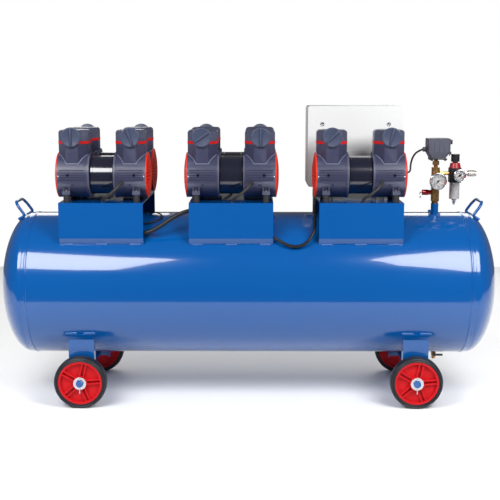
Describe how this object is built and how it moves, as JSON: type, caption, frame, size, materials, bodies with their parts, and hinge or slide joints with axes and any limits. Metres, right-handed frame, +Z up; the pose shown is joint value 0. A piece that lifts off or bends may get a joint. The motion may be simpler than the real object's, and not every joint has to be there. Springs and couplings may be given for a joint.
{
  "type": "air compressor",
  "caption": "Horizontal wheeled air compressor: blue pressure tank carrying oil-free twin-cylinder pumps on saddles, a control box and an outlet pressure group.",
  "frame": {"origin": "on the floor under the middle of the tank, at the bottom centre of the bounding box", "axes": "+X along the tank towards the air outlet, -Y the front with the gauges, +Z up"},
  "size_m": [1.7, 0.4932, 1],
  "materials": {
    "blue_paint": "glossy blue powder coat",
    "wheel_red": "red moulded plastic, satin",
    "tyre_rubber": "black solid rubber",
    "zinc_steel": "bright zinc-plated steel",
    "cast_housing": "dark blue-grey painted casting, satin",
    "stator_black": "gloss black enamel",
    "gasket_red": "red elastomer",
    "cap_plastic": "dark blue-grey moulded plastic",
    "guard_red": "red moulded plastic, semi-gloss",
    "foot_rubber": "black rubber",
    "rotor_steel": "machined steel",
    "piston_alloy": "machined aluminium",
    "box_white": "light grey powder coat",
    "lock_chrome": "polished chrome",
    "brass": "bare brass",
    "valve_red": "red anodised",
    "gauge_case": "black enamel case, white dial",
    "needle_black": "matt black",
    "switch_grey": "dark grey moulded plastic",
    "knob_black": "matt black plastic",
    "regulator_black": "black plastic",
    "bowl_clear": "clear bowl",
    "cable_black": "black sheath"
  },
  "bodies": {
    "tank": {"tank_shell": "blue_paint", "tank_ends": "blue_paint", "tank_sockets": "blue_paint", "lifting_handles": "blue_paint", "saddle_left": "blue_paint", "saddle_middle": "blue_paint", "saddle_right": "blue_paint", "leg_brackets": "blue_paint", "axles": "blue_paint", "axle_fasteners": "zinc_steel", "crankcases": "cast_housing", "stators": "stator_black", "bearings": "zinc_steel", "cylinder_heads": "cast_housing", "head_gaskets": "gasket_red", "filter_caps": "cap_plastic", "fan_guards": "guard_red", "rubber_feet": "foot_rubber", "foot_bolts": "zinc_steel", "control_box": "box_white", "box_rails": "zinc_steel", "manifold": "brass", "safety_valve": "valve_red", "main_gauge": "gauge_case", "regulator_gauge": "gauge_case", "pressure_switch": "switch_grey", "regulator_body": "regulator_black", "regulator_bowl": "bowl_clear", "outlet_coupler": "brass", "drain_cock": "brass", "air_hoses": "cable_black", "power_cables": "cable_black"},
    "wheel_front_left": {"wheel_front_left": "wheel_red", "tyre_front_left": "tyre_rubber"},
    "wheel_rear_left": {"wheel_rear_left": "wheel_red", "tyre_rear_left": "tyre_rubber"},
    "wheel_front_right": {"wheel_front_right": "wheel_red", "tyre_front_right": "tyre_rubber"},
    "wheel_rear_right": {"wheel_rear_right": "wheel_red", "tyre_rear_right": "tyre_rubber"},
    "rotor_1": {"rotor_1": "rotor_steel"},
    "pistons_1": {"pistons_1": "piston_alloy"},
    "rotor_2": {"rotor_2": "rotor_steel"},
    "pistons_2": {"pistons_2": "piston_alloy"},
    "rotor_3": {"rotor_3": "rotor_steel"},
    "pistons_3": {"pistons_3": "piston_alloy"},
    "rotor_4": {"rotor_4": "rotor_steel"},
    "pistons_4": {"pistons_4": "piston_alloy"},
    "rotor_5": {"rotor_5": "rotor_steel"},
    "pistons_5": {"pistons_5": "piston_alloy"},
    "control_box_door": {"control_box_door": "box_white"},
    "door_latch": {"door_latch": "lock_chrome"},
    "switch_knob": {"switch_knob": "knob_black"},
    "safety_ring": {"safety_ring": "zinc_steel"},
    "main_gauge_needle": {"main_gauge_needle": "needle_black"},
    "regulator_gauge_needle": {"regulator_gauge_needle": "needle_black"},
    "regulator_knob": {"regulator_knob": "knob_black"},
    "bowl_drain": {"bowl_drain": "lock_chrome"},
    "coupler_sleeve": {"coupler_sleeve": "brass"},
    "drain_handle": {"drain_handle": "knob_black"}
  },
  "joints": [
    {"name": "wheel_front_left_roll", "type": "hinge", "parent": "tank", "child": "wheel_front_left", "pos_m": [-0.563, -0.217, 0.088], "axis": [0, 1, 0], "continuous": true},
    {"name": "wheel_rear_left_roll", "type": "hinge", "parent": "tank", "child": "wheel_rear_left", "pos_m": [-0.563, 0.217, 0.088], "axis": [0, 1, 0], "continuous": true},
    {"name": "wheel_front_right_roll", "type": "hinge", "parent": "tank", "child": "wheel_front_right", "pos_m": [0.563, -0.217, 0.088], "axis": [0, 1, 0], "continuous": true},
    {"name": "wheel_rear_right_roll", "type": "hinge", "parent": "tank", "child": "wheel_rear_right", "pos_m": [0.563, 0.217, 0.088], "axis": [0, 1, 0], "continuous": true},
    {"name": "rotor_1_spin", "type": "hinge", "parent": "tank", "child": "rotor_1", "pos_m": [-0.486, -0.097, 0.774], "axis": [1, 0, 0], "continuous": true},
    {"name": "pistons_1_swing", "type": "hinge", "parent": "rotor_1", "child": "pistons_1", "pos_m": [-0.486, -0.097, 0.781], "axis": [1, 0, 0], "continuous": true},
    {"name": "rotor_2_spin", "type": "hinge", "parent": "tank", "child": "rotor_2", "pos_m": [-0.057, -0.097, 0.774], "axis": [1, 0, 0], "continuous": true},
    {"name": "pistons_2_swing", "type": "hinge", "parent": "rotor_2", "child": "pistons_2", "pos_m": [-0.057, -0.097, 0.781], "axis": [1, 0, 0], "continuous": true},
    {"name": "rotor_3_spin", "type": "hinge", "parent": "tank", "child": "rotor_3", "pos_m": [0.372, -0.097, 0.774], "axis": [1, 0, 0], "continuous": true},
    {"name": "pistons_3_swing", "type": "hinge", "parent": "rotor_3", "child": "pistons_3", "pos_m": [0.372, -0.097, 0.781], "axis": [1, 0, 0], "continuous": true},
    {"name": "rotor_4_spin", "type": "hinge", "parent": "tank", "child": "rotor_4", "pos_m": [-0.486, 0.097, 0.774], "axis": [1, 0, 0], "continuous": true},
    {"name": "pistons_4_swing", "type": "hinge", "parent": "rotor_4", "child": "pistons_4", "pos_m": [-0.486, 0.097, 0.781], "axis": [1, 0, 0], "continuous": true},
    {"name": "rotor_5_spin", "type": "hinge", "parent": "tank", "child": "rotor_5", "pos_m": [-0.057, 0.097, 0.774], "axis": [1, 0, 0], "continuous": true},
    {"name": "pistons_5_swing", "type": "hinge", "parent": "rotor_5", "child": "pistons_5", "pos_m": [-0.057, 0.097, 0.781], "axis": [1, 0, 0], "continuous": true},
    {"name": "door_hinge", "type": "hinge", "parent": "tank", "child": "control_box_door", "pos_m": [0.538, 0.1905, 0.86], "axis": [0, 0, -1], "range_deg": [0, 110]},
    {"name": "latch_turn", "type": "hinge", "parent": "control_box_door", "child": "door_latch", "pos_m": [0.231, 0.2, 0.86], "axis": [0, -1, 0], "range_deg": [0, 90]},
    {"name": "switch_knob_turn", "type": "hinge", "parent": "tank", "child": "switch_knob", "pos_m": [0.686, -0.03, 0.88], "axis": [1, 0, 0], "range_deg": [0, 90]},
    {"name": "safety_ring_pull", "type": "slide", "parent": "tank", "child": "safety_ring", "axis": [-1, 0, 0], "range_m": [0, 0.004], "stiffness_N_per_m": 2000},
    {"name": "main_gauge_read", "type": "hinge", "parent": "tank", "child": "main_gauge_needle", "pos_m": [0.641, -0.078, 0.75], "axis": [0, 1, 0], "range_deg": [0, 270], "stiffness_Nm_per_rad": 0.001},
    {"name": "regulator_gauge_read", "type": "hinge", "parent": "tank", "child": "regulator_gauge_needle", "pos_m": [0.713, -0.078, 0.77], "axis": [0, 1, 0], "range_deg": [0, 270], "stiffness_Nm_per_rad": 0.001},
    {"name": "regulator_knob_turn", "type": "hinge", "parent": "tank", "child": "regulator_knob", "pos_m": [0.706, -0.03, 0.82], "axis": [0, 0, 1], "range_deg": [0, 900]},
    {"name": "bowl_drain_push", "type": "slide", "parent": "tank", "child": "bowl_drain", "axis": [0, 0, 1], "range_m": [0, 0.003], "stiffness_N_per_m": 300},
    {"name": "coupler_sleeve_slide", "type": "slide", "parent": "tank", "child": "coupler_sleeve", "axis": [-1, 0, 0], "range_m": [0, 0.005], "stiffness_N_per_m": 1500},
    {"name": "drain_handle_turn", "type": "hinge", "parent": "tank", "child": "drain_handle", "pos_m": [0.658, -0.016, 0.128], "axis": [0, 1, 0], "range_deg": [0, 90]}
  ],
  "couplings": [
    {"joint": "pistons_1_swing", "follows": "rotor_1_spin", "ratio": -1},
    {"joint": "pistons_2_swing", "follows": "rotor_2_spin", "ratio": -1},
    {"joint": "pistons_3_swing", "follows": "rotor_3_spin", "ratio": -1},
    {"joint": "pistons_4_swing", "follows": "rotor_4_spin", "ratio": -1},
    {"joint": "pistons_5_swing", "follows": "rotor_5_spin", "ratio": -1}
  ]
}
